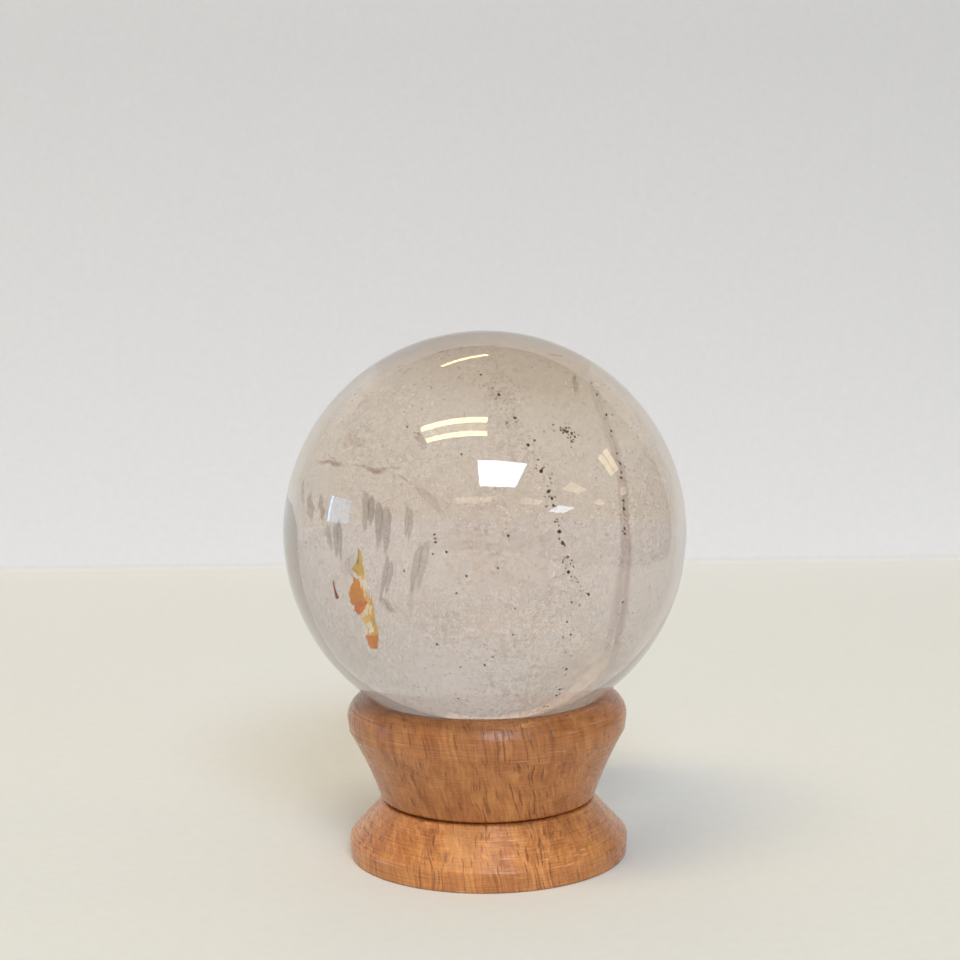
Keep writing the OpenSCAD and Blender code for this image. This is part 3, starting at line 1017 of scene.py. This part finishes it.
# %% Sizes of the stand
foot_r = rim_r = stand_high.x
stand_h = stand_high.z
foot_band_h, foot_taper, foot_edge_r, shoulder_r = 3.5 * MM, 0.2 * MM, 0.4 * MM, 1.2 * MM
waist_r, waist_z, groove_w, groove_depth = 19.4 * MM, 10.4 * MM, 0.7 * MM, 1.5 * MM
cup_edge_r, cup_bow = 0.8 * MM, 0.3 * MM
lip_r, rim_band_h, rim_taper = 3.8 * MM, 2.4 * MM, 0.3 * MM
seat_r, seat_w, hollow_gap = 20.6 * MM, 1.2 * MM, 2.5 * MM

# %% Profile of the stand
def line(a, b, steps):
    """Points from a to b at even steps."""
    return np.linspace(a, b, steps + 1)


def arc(centre, radius, start, stop, steps):
    """Points at centre + radius (cos t, sin t), t in degrees from start to stop."""
    t = np.radians(np.linspace(start, stop, steps + 1))
    return centre + radius * np.stack([np.cos(t), np.sin(t)], -1)


def rounded(a, b, c, radius, steps=6):
    """The corner b of the path a, b, c, as an arc that touches both its sides."""
    u = (a - b) / np.linalg.norm(a - b)
    v = (c - b) / np.linalg.norm(c - b)
    half = math.acos(u @ v) / 2
    centre = b + (u + v) / np.linalg.norm(u + v) * radius / math.sin(half)
    first, last = b + u * radius / math.tan(half) - centre, b + v * radius / math.tan(half) - centre
    start, stop = math.atan2(first[1], first[0]), math.atan2(last[1], last[0])
    stop += 2 * math.pi * round((start - stop) / (2 * math.pi))
    return arc(centre, radius, math.degrees(start), math.degrees(stop), steps)


def bowed(a, b, bow, steps):
    """From a to b, bowed to its left by bow: the offset is 4 t (1 - t) times the bow."""
    t = np.linspace(0, 1, steps + 1)[:, None]
    side = np.array([a[1] - b[1], b[0] - a[0]]) / np.linalg.norm(b - a)
    return a + (b - a) * t + side * bow * 4 * t * (1 - t)


def stand_profile():
    """The stand's section as radius and height, from the axis below to the axis above."""
    slope = math.asin(seat_r / ball_r)
    bevel = seat_w / 2 * np.array([math.cos(slope), math.sin(slope)])
    lip = np.array([rim_r - lip_r, stand_h - lip_r])
    mouth = np.array([seat_r + bevel[0], stand_h])
    inner = mouth - 2 * bevel
    hollow_z = ball_centre[2] - ball_r - hollow_gap
    depth = inner[1] - hollow_z
    hollow_r = (inner[0] ** 2 + depth ** 2) / (2 * depth)
    dish = math.degrees(math.acos(1 - depth / hollow_r))
    foot, shoulder = np.array([foot_r - foot_taper, 0.0]), np.array([foot_r, foot_band_h])
    groove_low = np.array([waist_r, waist_z - groove_w / 2])
    groove_root = np.array([waist_r - groove_depth, waist_z])
    groove_high = np.array([waist_r, waist_z + groove_w / 2])
    rim_low = np.array([rim_r - rim_taper, lip[1] - rim_band_h])
    edge = rounded(np.array([0.0, 0.0]), foot, shoulder, foot_edge_r)
    brow = rounded(foot, shoulder, groove_low, shoulder_r, 10)
    cup = rounded(groove_root, groove_high, rim_low, cup_edge_r)
    return np.concatenate([
        line([0.0, 0.0], edge[0], 10)[1:-1], edge, line(edge[-1], brow[0], 16)[1:-1], brow,
        line(brow[-1], groove_low, 60)[1:], line(groove_low, groove_root, 5)[1:],
        line(groove_root, cup[0], 5)[1:-1], cup, bowed(cup[-1], rim_low, cup_bow, 90)[1:],
        line(rim_low, [rim_r, lip[1]], 16)[1:], arc(lip, lip_r, 0, 90, 32)[1:],
        line([lip[0], stand_h], mouth, 3)[1:], line(mouth, inner, 6)[1:],
        arc(np.array([0.0, hollow_z + hollow_r]), hollow_r, dish - 90, -90, 24)[1:-1],
    ]), hollow_z


# %% Turned surface
STAND_COLUMNS = 256
TOOL_MARK = 0.018 * MM
tool_rng = np.random.default_rng(7)


def lathe_surface(profile, bottom_z, top_z, columns):
    """Point at angle b: (r cos b, r sin b, z) for each r and z of the profile, and a pole at each end."""
    b = np.linspace(0, 2 * np.pi, columns, endpoint=False)
    r, z = profile[:, :1], profile[:, 1:]
    rings = np.stack([r * np.cos(b), r * np.sin(b), z + 0 * b], -1).reshape(-1, 3)
    points = np.concatenate([rings, [[0, 0, bottom_z], [0, 0, top_z]]])
    return points, closed_faces(len(profile), columns)


profile, hollow_z = stand_profile()
shown = (profile[:, 1] > foot_edge_r) & (profile[:, 0] > seat_r)
profile[shown, 0] -= TOOL_MARK * tool_rng.uniform(0, 1, shown.sum())
print("profile of", len(profile), "points, rim", round(rim_r / MM, 2), "mm radius")

# %% [markdown]
# ## Wood
#
# The blank was cut with its grain along the lathe's axis, leaning a little. It is
# an open-grained hardwood, so three things make up its look. Fibres are fine,
# long and soft. Pores are short dark dashes along the grain, crowded where the
# tree grew in spring. Scratches from sanding on the lathe run nearly round the
# axis, so they depend almost wholly on height and radius, and they draw out the
# highlights. All are solid patterns in the piece's own coordinates, so they run
# on from the cup across the groove to the foot. The grain's patterns are also
# drawn out from front to back, which keeps the dashes long on the foot's slope.
# The foot is made paler than the cup, as painted light where it faces up to
# the lamps, and its right side is a little darker from painted shade.

# %% Wood
GRAIN_LEAN = math.radians(9)
WOOD_DARK, WOOD_MID, WOOD_LIGHT = (0.33, 0.112, 0.032), (0.455, 0.172, 0.052), (0.58, 0.245, 0.078)
PORE, SCRATCH, RIM_SHADE_TINT = (0.120, 0.036, 0.012), (0.92, 0.62, 0.42), (0.66, 0.52, 0.50)
# Place and half width of each spring ring
CROWDED_RINGS = [(-0.0075, 0.0034), (0.0035, 0.0020), (0.0115, 0.0052), (-0.0180, 0.0040)]

wood, tree, shader = new_material("turned wood")
solid = object_place(tree)
grain = place(tree, "Mapping", {"Vector": solid, "Rotation": (0.05, GRAIN_LEAN, 0.0)}).outputs["Vector"]
slow = noise(tree, scaled(tree, grain, (1.0, 1.0, 0.5)), 110.0, 2.0)
quick = noise(tree, grain, 420.0, 2.0)
sway = arithmetic(tree, "MULTIPLY_ADD", quick, 0.0005, product(tree, slow, 0.0040))
shift = place(tree, "CombineXYZ", {"X": sway}).outputs["Vector"]
grain = place(tree, "VectorMath", {0: grain, 1: shift}, operation="ADD").outputs["Vector"]
fibres = noise(tree, scaled(tree, grain, (1.0, 0.30, 0.035)), 1900.0, 4.0, 0.65)
dashes = noise(tree, scaled(tree, grain, (1.0, 0.22, 0.040)), 2700.0, 1.0, 0.4)
grain_x = place(tree, "SeparateXYZ", {0: grain}).outputs["X"]
crowded = 0.0
for ring, half in CROWDED_RINGS:
    away = arithmetic(tree, "ABSOLUTE", arithmetic(tree, "SUBTRACT", grain_x, ring))
    crowded = arithmetic(tree, "MAXIMUM", crowded, stretch(tree, away, half, 0.2 * half))
pores = stretch(tree, arithmetic(tree, "MULTIPLY_ADD", crowded, 0.12, dashes), 0.66, 0.78)
cloudy = noise(tree, scaled(tree, grain, (1.0, 1.0, 0.16)), 260.0, 4.0, 0.6)

own = place(tree, "SeparateXYZ", {0: solid}).outputs
flat_place = place(tree, "CombineXYZ", {"X": own["X"], "Y": own["Y"]}).outputs[0]
radius = place(tree, "VectorMath", {0: flat_place}, operation="LENGTH").outputs["Value"]
leaning = arithmetic(tree, "ADD", own["X"], product(tree, own["Y"], 0.4))
around = product(tree, leaning, 0.07)
turning = place(tree, "CombineXYZ", {"X": radius, "Y": own["Z"], "Z": around}).outputs["Vector"]
marks = noise(tree, turning, 3000.0, 3.0, 0.7)
hairlines = stretch(tree, noise(tree, turning, 1700.0, 3.0, 0.6), 0.635, 0.70)

figure = arithmetic(tree, "MULTIPLY_ADD", arithmetic(tree, "SUBTRACT", fibres, 0.5), 1.25, cloudy)
shade = ramp(tree, figure, (0.24, WOOD_DARK), (0.50, WOOD_MID), (0.78, WOOD_LIGHT))
shade = blend(tree, product(tree, pores, 0.60), shade, PORE)
turned = ramp(tree, product(tree, own["Z"], 30.0), (0.30, grey(1)), (0.32, grey(0.3)),
              (0.62, grey(0.3)), (0.68, grey(0.8)))
sanding = times(tree, turned, stretch(tree, marks, 0.28, 0.72, -0.20, 0.20))
sanding = place(tree, "VectorMath", {0: sanding, 1: grey(1.0)}, operation="ADD").outputs["Vector"]
shade = times(tree, shade, sanding)
scratched = product(tree, hairlines, place(tree, "SeparateColor", {0: turned}).outputs[0])
shade = blend(tree, product(tree, scratched, 0.34), shade, SCRATCH)
# Painted shade: the rim, under the ball, darkens towards its top.
rim_painted_shade = product(tree, stretch(tree, own["Z"], 0.0215, 0.0265), 0.35)
shade = blend(tree, rim_painted_shade, shade, times(tree, shade, RIM_SHADE_TINT))
# Painted light and shade: the foot, facing up to the lamps, is made paler than the cup, and its right
# side, lit less, is made a little darker.
foot_painted_light = stretch(tree, own["Z"], 0.0100, 0.0105, 1.22, 1.05)
right_painted_shade = stretch(tree, own["X"], 0.008, 0.022, 0.0, 0.18)
on_foot = stretch(tree, own["Z"], 0.0105, 0.0100)
foot_painted_light = arithmetic(tree, "SUBTRACT", foot_painted_light, product(tree, right_painted_shade, on_foot))
shade = times(tree, shade, foot_painted_light)
tree.links.new(shade, shader.inputs["Base Color"])
tree.links.new(stretch(tree, marks, 0.3, 0.7, 0.22, 0.38), shader.inputs["Roughness"])
shader.inputs["Anisotropic"].default_value = 0.75
shader.inputs["Anisotropic Rotation"].default_value = 0.25
shader.inputs["Specular IOR Level"].default_value = 0.5
round_axis = place(tree, "Tangent", direction_type="RADIAL", axis="Z").outputs[0]
tree.links.new(round_axis, shader.inputs["Tangent"])
height = arithmetic(tree, "SUBTRACT", marks, pores)
relief = place(tree, "Bump", {"Height": height, "Strength": 0.5, "Distance": 0.00010})
tree.links.new(relief.outputs["Normal"], shader.inputs["Normal"])

stand = make_piece("turned_stand", *lathe_surface(profile, 0.0, hollow_z, STAND_COLUMNS))
finish_piece(stand, wood, "wood", "wooden_stand")
